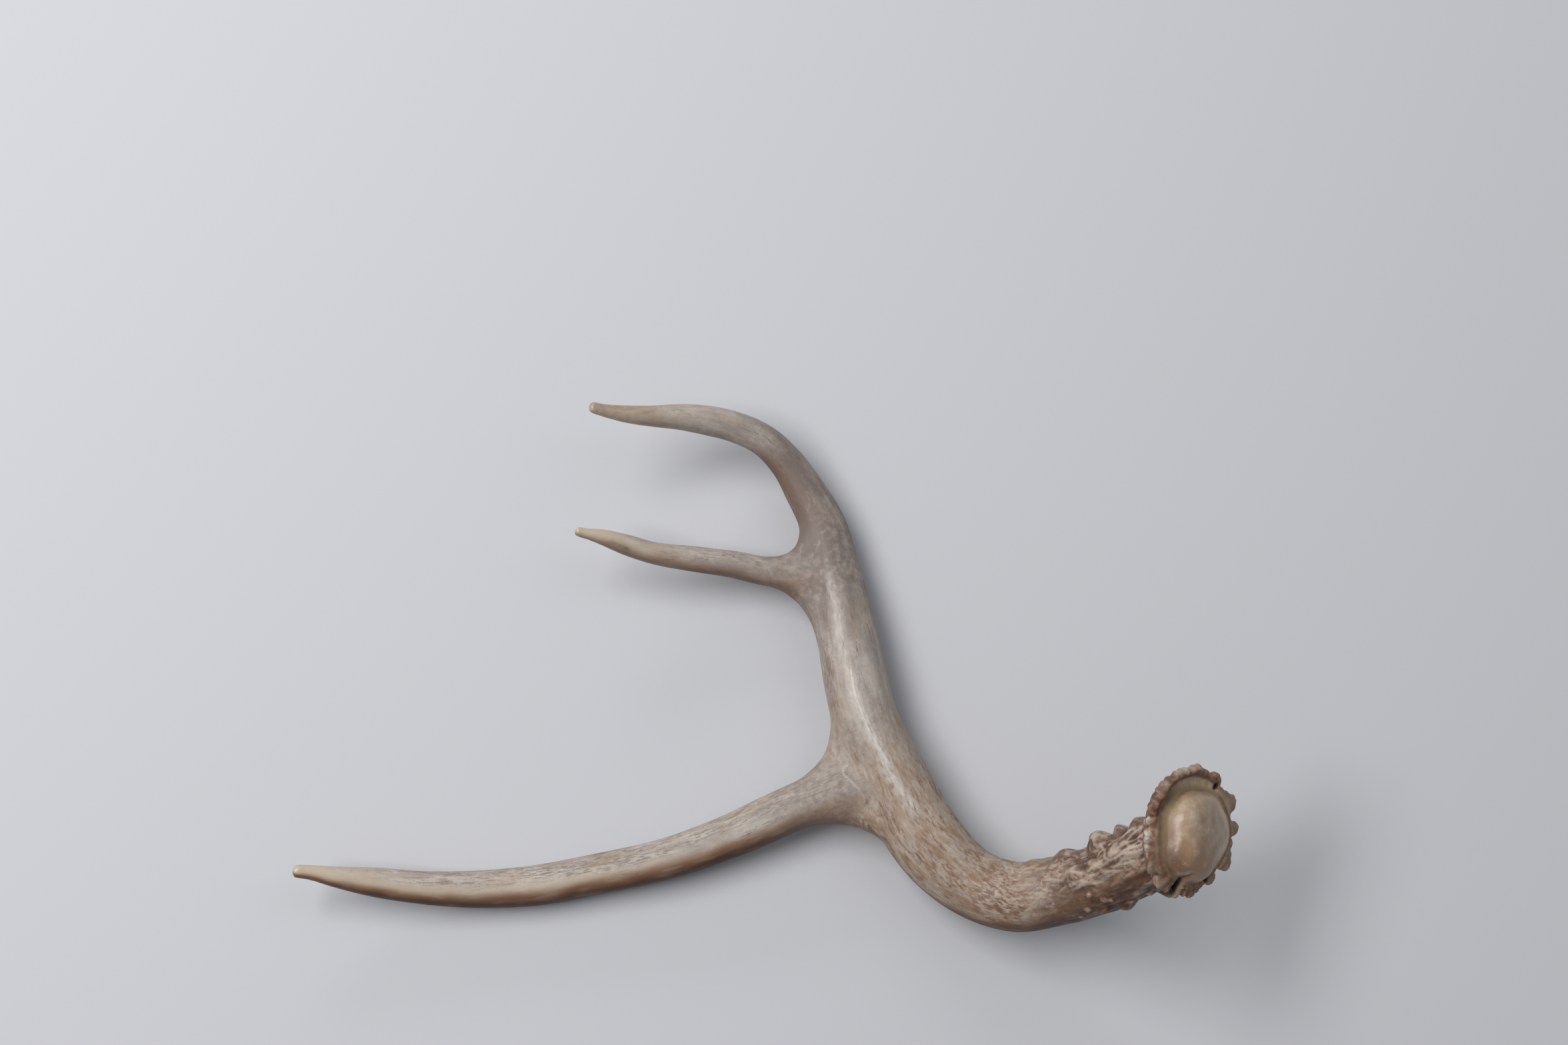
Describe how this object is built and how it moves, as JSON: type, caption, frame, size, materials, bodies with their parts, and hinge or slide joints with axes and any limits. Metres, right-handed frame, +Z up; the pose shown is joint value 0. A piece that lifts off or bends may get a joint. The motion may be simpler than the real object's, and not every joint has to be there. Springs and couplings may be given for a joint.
{
  "type": "deer antler",
  "caption": "Shed deer antler: a curved beam with a knobbly burr and domed seal at its base, two tines on its inner side and a hooked tip; lies on its side.",
  "frame": {"origin": "the point on the supporting surface under the middle of the antler's box, as it lies on its outer side", "axes": "+X from the long tine's tip towards the burr, +Y towards the tip of the beam, +Z up from the supporting surface"},
  "size_m": [0.3742, 0.2171, 0.1041],
  "materials": {
    "rough_bone": "rough brown bone with pale ridges",
    "smooth_bone": "dry grey-tan bone with fine grain",
    "polished_tine": "smooth bone, paling to worn ivory at the tips"
  },
  "bodies": {
    "root": {"lower_beam": "rough_bone", "middle_beam": "smooth_bone", "long_tine": "polished_tine", "short_tine": "polished_tine", "beam_tip": "polished_tine"}
  },
  "joints": []
}
